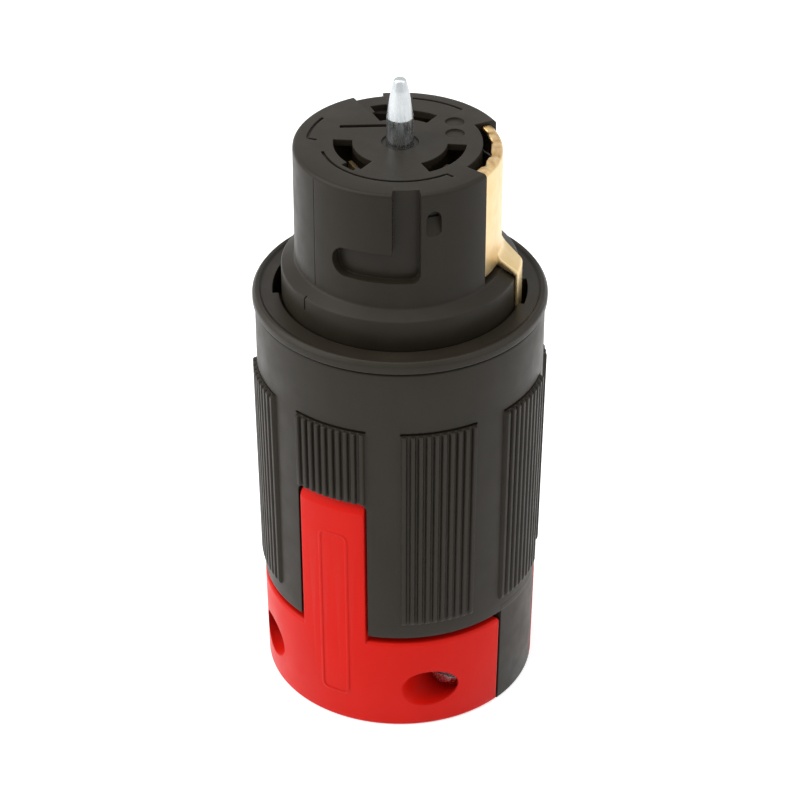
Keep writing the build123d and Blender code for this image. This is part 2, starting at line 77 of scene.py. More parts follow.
# Fine groove under the lip, the lip, its crest and the ring, from the collar inwards
RING_OUTLINE = [(COLLAR_R, COLLAR_Z), (COLLAR_R, 105.7, 0.4), (34.45, 105.95, 0.15),
                (34.45, 106.25, 0.15), (LIP_R, 106.6, 0.5), (LIP_R, 108.4, 1.0),
                (34.7, CREST_Z, 0.5), (33.9, 109.4, 0.4), (33.3, 108.85, 0.5),
                (RING_IN_R, RING_Z, 0.35), (RING_IN_R, SEAT_Z)]

# Legs of the housing beside the clamp halves
LEG_FRONT = 8.1
LEG_BACK = 11.2
LEG_TOP_Z = 30.0
LEG_AZIMUTHS = (68, 112)
LEG_IN = 20.0
LEG_OUT = 40.0

# Keyways in the ring: open at the ground strip, blind across from it
STRIP_AZIMUTH = 113.0
KEY_HALF = 12.4
KEY_R = 30.6
KEY_TOP_Z = 120.0
OPEN_KEY_LATE = 3.0
OPEN_KEY_IN_R = 21.0
OPEN_KEY_LOW_Z = 94.0
BLIND_KEY_IN_R = 28.0
BLIND_KEY_LOW_Z = 101.0

# Grip panels and the shape of a rib across its width
PANELS = 8
PANEL_PITCH = 360 / PANELS
RIBS = 10
PITCH = 3.1
CREST_HALF = 0.6
SHOULDER_HALF = 0.8
SHOULDER = 0.85
RIB_FOOT_HALF = 1.2
GROOVE_FLOOR = 0.15
EDGE_SHIFT = 0.3
RIB_MIDDLES = [(i - (RIBS - 1) / 2) * PITCH for i in range(RIBS)]
RIB_MIDDLES[0] -= EDGE_SHIFT
RIB_MIDDLES[-1] += EDGE_SHIFT
PANEL_HALF = RIB_MIDDLES[-1] + PITCH / 2

# Rib heights along the panel, the rounding of their ends and the dark notch over a panel
GRIP_LOW_Z = 33.0
GRIP_HIGH_Z = 88.8
GRIP_SKIN_R = 34.0
GRIP_ZONE_Z = (32.0, 91.0)
RIB_LOW = 0.72
RIB_HIGH = 1.02
RIB_START = 0.6
RIB_FEET = 1.3
RIB_HEAD = 0.35
RIB_OVER_TONGUE_Z = 68.25
OVER_TONGUE_HALF = 20
PANEL_NOTCH = (0.05, 0.75)
PANEL_NOTCH_DEPTH = 0.8
PANEL_NOTCH_INSET = 0.35

# Heights of the housing's rows of points, close together at the ribs' ends
SKIN_ROWS = [32.2, 32.4, 32.5, 32.7, 33.0, 33.4, 33.8, 36, 50, 62, 68.25, 68.3, 68.4, 68.6, 68.9, 75,
             86, 88.45, 88.6, 88.7, 88.78, 88.8, 88.84, 88.9, 89.5, 89.56, 90, 91, 94]

# Clamp halves
CORD_R = 13.0
CORD_LOW_EDGE = 0.8
CORD_TOP_EDGE = 0.6
CLAMP_TOP_Z = 26.2
CLAMP_EDGE = 0.9
CLAMP_SPLIT = 0.3
CLAMP_CUT = 50.0
CLAMP_CUT_TOP_Z = 90.0
LEG_GAP = 0.7
LEG_INNER_GAP = 0.25
LEG_ROOM_TOP_Z = 40.0

# Tongues of the clamp halves, and the slots and their floors in the housing
TONGUE_HALF = 8.75
TONGUE_IN = 30.7
TONGUE_LOW_Z = 20.0
TONGUE_Z = 67.7
TONGUE_CORNER = 1.5
TONGUE_BAND = 2.7
TONGUE_PROUD = 0.12
TONGUE_SINK = 1.1
TONGUE_EDGE = 0.6
TONGUE_CREST_EDGE = 1.0
TONGUE_TOP_EDGE = 0.35
TONGUE_START = 0.95
SLOT_SIDE_GAP = 0.7
SLOT_TOP_GAP = 0.4
SLOT_CORNER = 1.8
SLOT_MOUTH = 3.0
SLOT_MOUTH_EDGE = 1.3
SLOT_FLOOR = 30.45
SLOT_FLOOR_IN = 27.85
SLOT_FLOOR_HALF = 10.95
SLOT_FLOOR_START = 0.3
SLOT_FLOOR_TOP_Z = 69.9

# Low frame of the bare plate on the front tongue
FRAME_AZIMUTH = 1.0
FRAME_HALF_ANGLE = 6.0
FRAME_LOW_Z = 8.5
FRAME_HIGH_Z = 57.5
FRAME_CORNER = 1.6
FRAME_HALF_WIDTH = 0.3
FRAME_SINK = 0.6
FRAME_HEIGHT = 0.12
FRAME_CUT_R = (30.0, 40.0)

# Clamp screws and their holes
SCREW_X = 22.3
SCREW_Z = 11.5
SCREW_SEAT = 15.7
COUNTERBORE_R = 5.3
SHANK_HOLE_R = 2.15
SHANK_HOLE_END = 20.0
THREAD_HOLE_R = 2.04
THREAD_HOLE_END = 21.3
SHANK_R = 2.0
SHANK_END = 20.3
SHANK_POINT_R = 1.6
SHANK_POINT = 0.4
HEAD_R = 4.2
HEAD_OUTLINE = [(HEAD_R, -15.8), (HEAD_R, -17.7, 0.7), (2.8, -18.45, 0.5), (0, -18.5)]
DRIVE_HALF = 0.6
DRIVE_REACH = 6.0
DRIVE_START = -20.0
DRIVE_FLOOR = -17.1

# Nose body
NOSE_R = 25.1
FACE_Z = 148.1
FACE_EDGE = 1.0
FLANGE_R = 28.4
FLANGE_EDGE = 0.3
SHOULDER_Z = 116.2
SHOULDER_EDGE = 0.7
NOSE_BASE_Z = 118.0
NOSE_BASE_EDGE = 0.8

# Arc slots of the face with the cavities behind them, and the wider ends of two slots
LINE_AZIMUTHS = (84.5, 204.5, 324.5)
ARC_SLOT_R = (11.1, 15.6)
ARC_SLOT_HALF = 29.8
ARC_SLOT_LOW_Z = 146.0
SLOT_END_CUTS = ((12.1, 17.2, 337.5, 350.5), (12.1, 18.7, 219.0, 231.5))
SLOT_END_LOW_Z = 146.35
CAVITY_HALF = 8.0
CAVITY_Y = (-16.7, -9.2)
CAVITY_Z = (90.0, 146.4)

# Pin bore, ground notch and holes of the assembly screws
PIN_BORE_R = 3.22
PIN_FOOT_Z = 121.0
NOTCH_R = 19.3
NOTCH_OUT_R = 27.0
NOTCH_HALF = 31.5
NOTCH_FLOOR_Z = 118.4
ASSEMBLY_AZIMUTHS = (24.5, 264.5)
ASSEMBLY_R = 19.5
ASSEMBLY_HOLE_R = 1.79
ASSEMBLY_HOLE_Z = (90.0, 109.0)

# Bayonet channels
CHANNELS = ((25.0, 40.3), (218.8, 236.2))
CHANNEL_FLOOR_R = NOSE_R - 2.35
CHANNEL_OUT_R = 27.5
CHANNEL_LOW_Z = 124.7
CHANNEL_HIGH_Z = 132.3
CHANNEL_LEG_ANGLE = 34.4
CHANNEL_END_R = 3.8
CHANNEL_BEND_R = 2.2

# Azimuth of one millimetre along the nose's skin
NOSE_TURN = degrees(1 / NOSE_R)

# Scoop beside the upright channel
SCOOP_AZIMUTH = 47.2
SCOOP_HALF = 1.85
SCOOP_CORNER = 0.9
SCOOP_LOW_Z = 136.9
SCOOP_HIGH_Z = 141.2
SCOOP_SLOPE = 1.7
SCOOP_START = 0.1
SCOOP_DOME_Z = 141.0
SCOOP_DOME = 2.3
SCOOP_DEPTH = 2.2
SCOOP_OUT_R = 27.0

# Shallow marks of the face: arcs as radius, start, end, hook radius, hook azimuth and depth
FACE_ARCS = ((18.5, -46.8, 64.6, 20.35, 65.9, 0.6), (21.6, -93.8, -65.4, 19.4, -64.0, 0.5),
             (21.5, 166.2, 201.2, None, None, 0.6))
ARC_WIDTH = 0.75
SLIT = ((-15.96, -0.44), (-6.52, 5.41))
SLIT_WIDTH = 1.3
SLIT_DEPTH = 1.2
PIN_RING_R = 4.4
PIN_RING_DEPTH = 0.35
DIMPLES = ((6.53, 14.65), (9.27, 9.76))
DIMPLE_R = 2.3
DIMPLE_DEPTH = 0.4

# Fine parting lines of the nose and its shoulder: inner and outer radius, azimuths, heights
PARTING_LINES = ((24.95, 26, -23.0, -22.6, 118.6, 147.2), (27.6, 29, -22.9, -22.2, 113.0, 117))

# Ground strap: the strip with its rolled lip, the foot over the shoulder, and the tail inside
STRIP_OUTLINE = [(23.0, 119.5), (24.1, 119.5), (24.1, 147.4, 1.5), (21.2, 147.4, 0.45),
                 (21.2, 146.3, 0.45), (23.0, 146.3, 0.4)]
STRIP_AZIMUTHS = (82.3, 143.7)
FOOT_OUTLINE = [(23.0, 125.0), (23.0, 119.45, 0.4), (28.5, 116.85, 0.9), (28.5, 88.0),
                (29.2, 88.0), (29.2, 118.05, 1.8), (24.1, 121.0, 3.2), (24.1, 125.0)]
FOOT_AZIMUTHS = (101.5, 124.5)
FOOT_TAPER = 0.42
FOOT_TAPER_START_R = 24.5
FOOT_TAPER_LENGTH = 4.0
TAIL_HALF = 4.0
TAIL_Y = (-29.1, -16.2)
TAIL_Z = (88.0, 89.1)
TAIL_HOLE_R = 2.04
TAIL_HOLE_Y = -20.2
TAIL_HOLE_Z = (80.0, 95.0)
TAIL_AZIMUTH = 120
STRAP_EDGE = 0.12

# Crimps pinched into the strip's lip, and the band of its height where the brass gets painted shade in
# darker brown spots
CRIMPS = (94.0, 107.0, 124.0, 137.0)
CRIMP_HALF = 5.0
CRIMP_R = 23.2
CRIMP_LOW_Z = 146.0
CRIMP_REACH = 2.0
CRIMP_IN = 0.35
CRIMP_DOWN = 0.4
CRIMP_SHADE_LOW_Z = 146.2
CRIMP_SHADE_HIGH_Z = 147.1

# Pilot pin
PIN_OUTLINE = [(0, PIN_FOOT_Z), (3.17, PIN_FOOT_Z, 0.3), (3.17, 154.9, 0.5), (2.05, 162.0, 4.0),
               (1.35, 164.7, 0.9), (0, 164.7)]

# Stage and camera, in metres and degrees
FLOOR_R = 3.0
FLOOR_TONE = 0.82
FLOOR_GLOW = 0.5
WORLD_AS_LAMP = 0.45
WORLD_AS_SEEN = 1.0
LAMP_TARGET = Vector((0, 0, 0.08))
CAMERA_OUT = 0.5996
CAMERA_UP = 0.4806
CAMERA_PITCH = 34.03
CAMERA_AZIMUTH = 29.2
CAMERA_LENS_MM = 132.25


# Mesh tools

def spot(radius, azimuth, z):
    """Point at a radius, azimuth and height, in metres."""
    turn = radians(azimuth)
    return Vector((radius * sin(turn), -radius * cos(turn), z)) * MM


def rounded(points, closed=True, steps=5):
    """Line of (x, y) points, where a third number rounds that corner with an arc."""
    result = []
    count = len(points)
    for i, point in enumerate(points):
        radius = point[2] if len(point) > 2 else 0
        here = Vector(point[:2])
        if not radius or (not closed and i in (0, count - 1)):
            result.append(tuple(here))
            continue
        back = (Vector(points[i - 1][:2]) - here).normalized()
        ahead = (Vector(points[(i + 1) % count][:2]) - here).normalized()
        half = back.angle(ahead) / 2
        reach = radius / tan(half)
        centre = here + (back + ahead).normalized() * (radius / sin(half))
        first = here + back * reach - centre
        last = here + ahead * reach - centre
        sweep = first.angle_signed(last)
        for step in range(steps + 1):
            arm = Matrix.Rotation(-sweep * step / steps, 2) @ first
            result.append(tuple(centre + arm))
    return result


def new_object(name, bm):
    """Link a finished bmesh as an object."""
    bmesh.ops.recalc_face_normals(bm, faces=bm.faces)
    mesh = bpy.data.meshes.new(name)
    bm.to_mesh(mesh)
    bm.free()
    piece = bpy.data.objects.new(name, mesh)
    bpy.context.scene.collection.objects.link(piece)
    return piece


def spread(start, end, step):
    """Values from start to end, about a step apart."""
    count = max(1, round((end - start) / step))
    return [start + (end - start) * i / count for i in range(count + 1)]


def lathe(name, profile, azimuths, push=None):
    """Closed (r, z) profile turned through azimuths. push(r, z, azimuth) moves the radius."""
    whole = abs(azimuths[-1] - azimuths[0] - 360) < TINY
    if whole:
        azimuths = azimuths[:-1]
    bm = bmesh.new()
    rings = []
    for azimuth in azimuths:
        ring = []
        for radius, z in profile:
            radius = push(radius, z, azimuth) if push else radius
            ring.append(bm.verts.new(spot(radius, azimuth, z)))
        rings.append(ring)
    count = len(profile)
    for i in range(len(rings) if whole else len(rings) - 1):
        one, two = rings[i], rings[(i + 1) % len(rings)]
        for j in range(count):
            k = (j + 1) % count
            if profile[j][0] > TINY or profile[k][0] > TINY:
                bm.faces.new((one[j], one[k], two[k], two[j]))
    if not whole:
        bm.faces.new(rings[0])
        bm.faces.new(rings[-1])
    bmesh.ops.remove_doubles(bm, verts=bm.verts, dist=WELD)
    return new_object(name, bm)


def prism(name, outline, low, high, place=None):
    """Outline of (x, y) points extruded from low to high along z, then placed by a matrix."""
    bm = bmesh.new()
    bottom = [bm.verts.new(Vector((x, y, low)) * MM) for x, y in outline]
    top = [bm.verts.new(Vector((x, y, high)) * MM) for x, y in outline]
    bm.faces.new(bottom)
    bm.faces.new(top)
    for i in range(len(outline)):
        j = (i + 1) % len(outline)
        bm.faces.new((bottom[i], bottom[j], top[j], top[i]))
    if place:
        bm.transform(place)
    return new_object(name, bm)


# Matrix that stands an (x, z) outline up, so that its extrusion runs towards the front
UPRIGHT = Matrix(((1, 0, 0, 0), (0, 0, -1, 0), (0, 1, 0, 0), (0, 0, 0, 1)))


def wrapped(outline, in_r, out_r):
    """Closed outline of (azimuth, z) points wrapped between two radii, each a function of z."""
    flat = bmesh.new()
    flat.faces.new([flat.verts.new((azimuth, z, 0)) for azimuth, z in outline])
    azimuths = [azimuth for azimuth, _ in outline]
    for cut in spread(min(azimuths), max(azimuths), 1.5)[1:-1]:
        bmesh.ops.bisect_plane(flat, geom=flat.verts[:] + flat.edges[:] + flat.faces[:], dist=SNAP,
                               plane_co=(cut, 0, 0), plane_no=(1, 0, 0))
    flat.verts.index_update()
    bm = bmesh.new()
    near = [bm.verts.new(spot(in_r(v.co.y), v.co.x, v.co.y)) for v in flat.verts]
    far = [bm.verts.new(spot(out_r(v.co.y), v.co.x, v.co.y)) for v in flat.verts]
    for face in flat.faces:
        ids = [v.index for v in face.verts]
        bm.faces.new([near[i] for i in ids])
        bm.faces.new([far[i] for i in ids])
    for edge in flat.edges:
        if len(edge.link_faces) == 1:
            a, b = (v.index for v in edge.verts)
            bm.faces.new((near[a], near[b], far[b], far[a]))
    flat.free()
    return new_object("cutter", bm)


def sector(in_r, out_r, start, end, low, high):
    """Piece of a tube between two azimuths and two heights."""
    profile = [(in_r, low), (out_r, low), (out_r, high), (in_r, high)]
    return lathe("cutter", profile, spread(start, end, 1.5))


def box(low, high):
    """Box between two corners."""
    outline = [(low[0], low[1]), (high[0], low[1]), (high[0], high[1]), (low[0], high[1])]
    return prism("cutter", outline, low[2], high[2])


def circle(radius, x=0.0, y=0.0, count=48):
    """Outline of a circle."""
    turns = [2 * pi * i / count for i in range(count)]
    return [(x + radius * cos(turn), y + radius * sin(turn)) for turn in turns]


def flat_spot(radius, azimuth):
    """Point (x, y) at a radius and azimuth, in millimetres."""
    return radius * sin(radians(azimuth)), -radius * cos(radians(azimuth))


def turned_about_z(piece, azimuth):
    """Turn a piece's mesh about the axis."""
    piece.data.transform(Matrix.Rotation(radians(azimuth), 4, "Z"))
    return piece


def bake(piece):
    """Apply all modifiers of a piece."""
    bpy.context.view_layer.update()
    seen = piece.evaluated_get(bpy.context.evaluated_depsgraph_get())
    mesh = bpy.data.meshes.new_from_object(seen)
    old = piece.data
    piece.modifiers.clear()
    piece.data = mesh
    bpy.data.meshes.remove(old)


def boolean(piece, tools, operation="DIFFERENCE"):
    """Apply exact booleans with each tool in turn, and delete the tools."""
    for tool in tools:
        modifier = piece.modifiers.new("boolean", "BOOLEAN")
        modifier.operation = operation
        modifier.solver = "EXACT"
        modifier.object = tool
        bake(piece)
        bpy.data.objects.remove(tool)
    return piece


def bevelled(piece, width, segments):
    """Round the sharp edges of a piece."""
    bevel = piece.modifiers.new("bevel", "BEVEL")
    bevel.width = width * MM
    bevel.segments = segments
    bevel.limit_method = "ANGLE"
    bevel.angle_limit = radians(50)
    bake(piece)


def joined(name, pieces):
    """One object from several closed shells."""
    bm = bmesh.new()
    for piece in pieces:
        bm.from_mesh(piece.data)
        bpy.data.objects.remove(piece)
    mesh = bpy.data.meshes.new(name)
    bm.to_mesh(mesh)
    bm.free()
    whole = bpy.data.objects.new(name, mesh)
    bpy.context.scene.collection.objects.link(whole)
    return whole


def reshaped(piece, move):
    """Move each vertex of a piece: move(radius, azimuth, z) gives its new radius, azimuth and z."""
    for vertex in piece.data.vertices:
        x, y, z = vertex.co / MM
        vertex.co = spot(*move(hypot(x, y), degrees(atan2(x, -y)), z))
    return piece


def finished(piece, name, node, material):
    """Name, shade and bind a piece that stands for a CAD node."""
    piece.name = name
    for face in piece.data.polygons:
        face.use_smooth = True
    piece.data.set_sharp_from_angle(angle=radians(32))
    piece.data.materials.clear()
    piece.data.materials.append(material)
    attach(piece, "root")
    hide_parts(node)
    return piece


# Materials

def new_material(name):
    """Node material with a Principled shader, and its tools."""
    material = bpy.data.materials.new(name)
    material.use_nodes = True
    nodes, links = material.node_tree.nodes, material.node_tree.links
    shader = nodes["Principled BSDF"]
    place = nodes.new("ShaderNodeTexCoord")
    return material, nodes, links, shader, place.outputs["Object"]


def noise(nodes, links, place, size_mm, detail=3.0, stretch=(1, 1, 1)):
    """Noise of a real size, in object space."""
    mapping = nodes.new("ShaderNodeMapping")
    mapping.inputs["Scale"].default_value = [1 / (size_mm * MM) * s for s in stretch]
    links.new(place, mapping.inputs["Vector"])
    texture = nodes.new("ShaderNodeTexNoise")
    texture.inputs["Scale"].default_value = 1.0
    texture.inputs["Detail"].default_value = detail
    links.new(mapping.outputs["Vector"], texture.inputs["Vector"])
    return texture.outputs["Fac"]


def ramp(nodes, links, value, dark, light):
    """Colour between dark and light from a noise value."""
    band = nodes.new("ShaderNodeValToRGB")
    for element, position, colour in zip(band.color_ramp.elements, (0.3, 0.7), (dark, light)):
        element.position = position
        element.color = (*colour, 1.0)
    links.new(value, band.inputs["Fac"])
    return band.outputs["Color"]


def spanned(nodes, links, value, low, high, start=0.3, end=0.7):
    """Map a value between start and end to a range."""
    span = nodes.new("ShaderNodeMapRange")
    span.inputs["From Min"].default_value = start
    span.inputs["From Max"].default_value = end
    span.inputs["To Min"].default_value = low
    span.inputs["To Max"].default_value = high
    links.new(value, span.inputs["Value"])
    return span.outputs["Result"]


def surface(nodes, links, shader, heights, edge_mm):
    """Rounded-edge normal and one bump for each (height, strength, distance in mm)."""
    bevel = nodes.new("ShaderNodeBevel")
    bevel.samples = 4
    bevel.inputs["Radius"].default_value = edge_mm * MM
    normal = bevel.outputs["Normal"]
    for height, strength, distance in heights:
        bump = nodes.new("ShaderNodeBump")
        bump.inputs["Strength"].default_value = strength
        bump.inputs["Distance"].default_value = distance * MM
        links.new(height, bump.inputs["Height"])
        links.new(normal, bump.inputs["Normal"])
        normal = bump.outputs["Normal"]
    links.new(normal, shader.inputs["Normal"])


def moulded_plastic(name, dark, light, rough, grain_mm, grain, edge_mm, specular):
    """Moulded plastic with a fine grain, faint flow marks and slightly uneven gloss."""
    material, nodes, links, shader, place = new_material(name)
    flow = noise(nodes, links, place, size_mm=14.0, detail=2.0, stretch=(1, 1, 0.35))
    links.new(ramp(nodes, links, flow, dark, light), shader.inputs["Base Color"])
    patches = noise(nodes, links, place, size_mm=5.0, detail=4.0)
    links.new(spanned(nodes, links, patches, rough - 0.05, rough + 0.06), shader.inputs["Roughness"])
    shader.inputs["Specular IOR Level"].default_value = specular
    fine = noise(nodes, links, place, size_mm=grain_mm)
    slow = noise(nodes, links, place, size_mm=6.0, detail=1.0)
    surface(nodes, links, shader, [(fine, grain, 0.05), (slow, 0.06, 0.4)], edge_mm)
    return material


def sheet_metal(name, dark, light, rough, grain):
    """Metal with fine marks, tarnish patches and softly rounded edges."""
    material, nodes, links, shader, place = new_material(name)
    patches = noise(nodes, links, place, size_mm=4.0, detail=4.0)
    links.new(ramp(nodes, links, patches, dark, light), shader.inputs["Base Color"])
    shader.inputs["Metallic"].default_value = 1.0
    scuffs = noise(nodes, links, place, size_mm=0.6, detail=4.0, stretch=(1, 1, 0.15))
    links.new(spanned(nodes, links, scuffs, rough - 0.05, rough + 0.07), shader.inputs["Roughness"])
    dents = noise(nodes, links, place, size_mm=2.5, detail=2.0)
    surface(nodes, links, shader, [(scuffs, grain, 0.02), (dents, 0.1, 0.1)], edge_mm=0.15)
    return material


def formed_brass(name, dark, light, crimp_shade, rough, grain):
    """Brass sheet, with painted shade in darker brown spots along the crimped lip at its top."""
    material = sheet_metal(name, dark, light, rough, grain)
    nodes, links = material.node_tree.nodes, material.node_tree.links
    shader = nodes["Principled BSDF"]
    plain = shader.inputs["Base Color"].links[0].from_socket
    place = nodes.new("ShaderNodeTexCoord").outputs["Object"]
    height = nodes.new("ShaderNodeSeparateXYZ")
    links.new(place, height.inputs["Vector"])
    at_lip = spanned(nodes, links, height.outputs["Z"], 0.0, 1.0, CRIMP_SHADE_LOW_Z * MM, CRIMP_SHADE_HIGH_Z * MM)
    spots = spanned(nodes, links, noise(nodes, links, place, size_mm=1.8), 0.0, 0.9)
    share = nodes.new("ShaderNodeMath")
    share.operation = "MULTIPLY"
    links.new(at_lip, share.inputs[0])
    links.new(spots, share.inputs[1])
    # Painted shade: darker brown spots in the lip band stand in for the shading of the crimps
    mix = nodes.new("ShaderNodeMix")
    mix.data_type = "RGBA"
    links.new(share.outputs["Value"], mix.inputs["Factor"])
    links.new(plain, mix.inputs["A"])
    mix.inputs["B"].default_value = (*crimp_shade, 1.0)
    links.new(mix.outputs["Result"], shader.inputs["Base Color"])
    return material


# Housing

def from_panel(azimuth):
    """Azimuth measured from the middle of the nearest panel."""
    return (azimuth + PANEL_PITCH / 2) % PANEL_PITCH - PANEL_PITCH / 2


def rib_shape(azimuth):
    """How much of a rib stands at an azimuth, from 0 beside a panel to 1 on a crest."""
    away = from_panel(azimuth)
    gap = min(abs(away - middle) for middle in RIB_MIDDLES)
    if gap <= CREST_HALF:
        return 1.0
    if gap <= SHOULDER_HALF:
        return 1.0 - (1.0 - SHOULDER) * (gap - CREST_HALF) / (SHOULDER_HALF - CREST_HALF)
    floor = GROOVE_FLOOR if abs(away) < RIB_MIDDLES[-1] else 0.0
    return max(floor, SHOULDER - SHOULDER * (gap - SHOULDER_HALF) / (RIB_FOOT_HALF - SHOULDER_HALF))


def rib_height(z, azimuth):
    """Height of a rib, rounded off at both ends. Over a tongue the rib ends higher up."""
    over_tongue = abs((azimuth + 90) % 180 - 90) < OVER_TONGUE_HALF
    low_z = RIB_OVER_TONGUE_Z if over_tongue else GRIP_LOW_Z - RIB_START
    if z <= low_z or z >= GRIP_HIGH_Z:
        return 0.0
    full = RIB_LOW + (RIB_HIGH - RIB_LOW) * (z - GRIP_LOW_Z) / (GRIP_HIGH_Z - GRIP_LOW_Z)
    low = min(1.0, (z - low_z) / (RIB_FEET / 2 if over_tongue else RIB_FEET))
    high = min(1.0, (GRIP_HIGH_Z - z) / RIB_HEAD)
    return full * sqrt(1 - (1 - low) ** 2) * sqrt(1 - (1 - high) ** 2)


def grip_push(radius, z, azimuth):
    """Radius of the housing skin with its ribs, and the dark notch over each panel."""
    if radius < GRIP_SKIN_R or z < GRIP_ZONE_Z[0] or z > GRIP_ZONE_Z[1]:
        return radius
    in_panel = abs(from_panel(azimuth)) <= PANEL_HALF - PANEL_NOTCH_INSET
    if PANEL_NOTCH[0] <= z - GRIP_HIGH_Z <= PANEL_NOTCH[1] and in_panel:
        return radius - PANEL_NOTCH_DEPTH
    return radius + rib_height(z, azimuth) * rib_shape(azimuth)


def grip_azimuths():
    """Azimuths with a column on each edge of each rib."""
    marks = (-RIB_FOOT_HALF, -SHOULDER_HALF, -CREST_HALF, 0.0, CREST_HALF, SHOULDER_HALF, RIB_FOOT_HALF,
             PITCH / 2)
    result = []
    for panel in range(PANELS):
        middle = panel * 360 / PANELS
        result.append(middle - PANEL_HALF)
        for rib in RIB_MIDDLES:
            result += [middle + rib + mark for mark in marks]
        result += spread(middle + PANEL_HALF, middle + 360 / PANELS - PANEL_HALF, 1.6)[1:-1]
    result = sorted(result)
    return result + [result[0] + 360]


def skin_r(z):
    """Radius of the smooth skin at a height."""
    if z < RIM_Z:
        return FOOT_R + (RIM_R - FOOT_R) * z / RIM_Z
    return RIM_R + (COLLAR_R - RIM_R) * (z - RIM_Z) / (COLLAR_Z - RIM_Z)


def housing_profile():
    """Closed profile of the housing, with rows for the ribs' ends."""
    bottom = rounded([(BORE_R, INSIDE_START_Z), (BORE_R, RIM_Z, INNER_EDGE), (RIM_R, RIM_Z, RIM_EDGE),
                      (skin_r(SKIN_START_Z), SKIN_START_Z)], closed=False)
    skin = [(skin_r(z), z) for z in SKIN_ROWS]
    top = rounded(RING_OUTLINE, closed=False, steps=4)
    shelf = [(SHELF_IN_R, SEAT_Z), (SHELF_IN_R, SHELF_Z), (BORE_R, SHELF_Z)]
    return bottom + skin + top + shelf


def tongue_outline():
    """Front outline of a tongue."""
    half = TONGUE_HALF
    return rounded([(-half, TONGUE_LOW_Z), (half, TONGUE_LOW_Z), (half, TONGUE_Z, TONGUE_CORNER),
                    (-half, TONGUE_Z, TONGUE_CORNER)])


def slot_outline():
    """Front outline of a tongue's slot, with rounded corners where it opens at the rim."""
    half, top, mouth = TONGUE_HALF + SLOT_SIDE_GAP, TONGUE_Z + SLOT_TOP_GAP, TONGUE_HALF + SLOT_MOUTH
    return rounded([(-mouth, TONGUE_LOW_Z), (mouth, TONGUE_LOW_Z), (mouth, RIM_Z),
                    (half, RIM_Z, SLOT_MOUTH_EDGE), (half, top, SLOT_CORNER),
                    (-half, top, SLOT_CORNER), (-half, RIM_Z, SLOT_MOUTH_EDGE), (-mouth, RIM_Z)])


def keyways():
    """Cutters of the two keyways."""
    start, end = STRIP_AZIMUTH - KEY_HALF, STRIP_AZIMUTH + KEY_HALF
    return [sector(OPEN_KEY_IN_R, KEY_R, start + OPEN_KEY_LATE, end, OPEN_KEY_LOW_Z, KEY_TOP_Z),
            sector(BLIND_KEY_IN_R, KEY_R, start + 180, end + 180, BLIND_KEY_LOW_Z, KEY_TOP_Z)]


def housing_leg(side):
    """Leg of the housing, made on the right and turned about the axis."""
    leg = lathe("leg", rounded([(BORE_R, 0, INNER_EDGE), (FOOT_R, 0, FOOT_EDGE),
                                (skin_r(LEG_TOP_Z), LEG_TOP_Z), (BORE_R, LEG_TOP_Z)]),
                spread(*LEG_AZIMUTHS, 1.0))
    low, high = (-LEG_BACK, LEG_FRONT) if side else (-LEG_FRONT, LEG_BACK)
    boolean(leg, [box((LEG_IN, low, UNDER), (LEG_OUT, high, LEG_OUT))], "INTERSECT")
    return turned_about_z(leg, side)


def build_housing(material):
    """Ribbed housing with its ring, legs, tongue slots and keyways."""
    shell = lathe("housing", housing_profile(), grip_azimuths(), grip_push)
    slots = [prism("cutter", slot_outline(), SLOT_FLOOR, OUTSIDE, UPRIGHT) for _ in range(2)]
    turned_about_z(slots[1], 180)
    boolean(shell, slots + keyways())
    parts = [shell]
    for side in (0, 180):
        floor = box((-SLOT_FLOOR_HALF, -SLOT_FLOOR, RIM_Z + SLOT_FLOOR_START),
                    (SLOT_FLOOR_HALF, -SLOT_FLOOR_IN, SLOT_FLOOR_TOP_Z))
        parts.append(turned_about_z(floor, side))
        parts.append(housing_leg(side))
    finished(joined("housing", parts), "housing_shell", "body_housing", material)


# Cord clamp

def leg_room(reach):
    """Room for a leg of the housing, which reaches this far round a clamp half."""
    in_r, half = BORE_R - LEG_INNER_GAP, reach + LEG_GAP
    side = degrees(asin(half / in_r))
    arc = [(in_r * cos(radians(a)), in_r * sin(radians(a))) for a in spread(-side, side, 1.0)]
    return prism("cutter", arc + [(OUTSIDE, half), (OUTSIDE, -half)], UNDER, LEG_ROOM_TOP_Z)


def frame_outline(margin):
    """Rounded rectangle of (azimuth, z) points, grown by a margin from the frame's middle line."""
    half = FRAME_HALF_ANGLE + degrees(margin / RIM_R)
    low, high = FRAME_LOW_Z - margin, FRAME_HIGH_Z + margin
    corner = FRAME_CORNER + margin
    wide = degrees(corner / RIM_R)
    points = []
    for x, z, start in ((half, low, 270), (half, high, 0), (-half, high, 90), (-half, low, 180)):
        middle_x = x - wide if x > 0 else x + wide
        middle_z = z + corner if z == low else z - corner
        points += [(middle_x + wide * cos(radians(a)), middle_z + corner * sin(radians(a)))
                   for a in spread(start, start + 90, 18)]
    return [(FRAME_AZIMUTH + azimuth, z) for azimuth, z in points]


def tongue_frame():
    """Low raised frame of a bare plate on the tongue, wrapped on the skin."""
    band = wrapped(frame_outline(FRAME_HALF_WIDTH),
                   lambda z: skin_r(z) - FRAME_SINK, lambda z: skin_r(z) + FRAME_HEIGHT)
    inside = wrapped(frame_outline(-FRAME_HALF_WIDTH), lambda z: FRAME_CUT_R[0], lambda z: FRAME_CUT_R[1])
    return boolean(band, [inside])


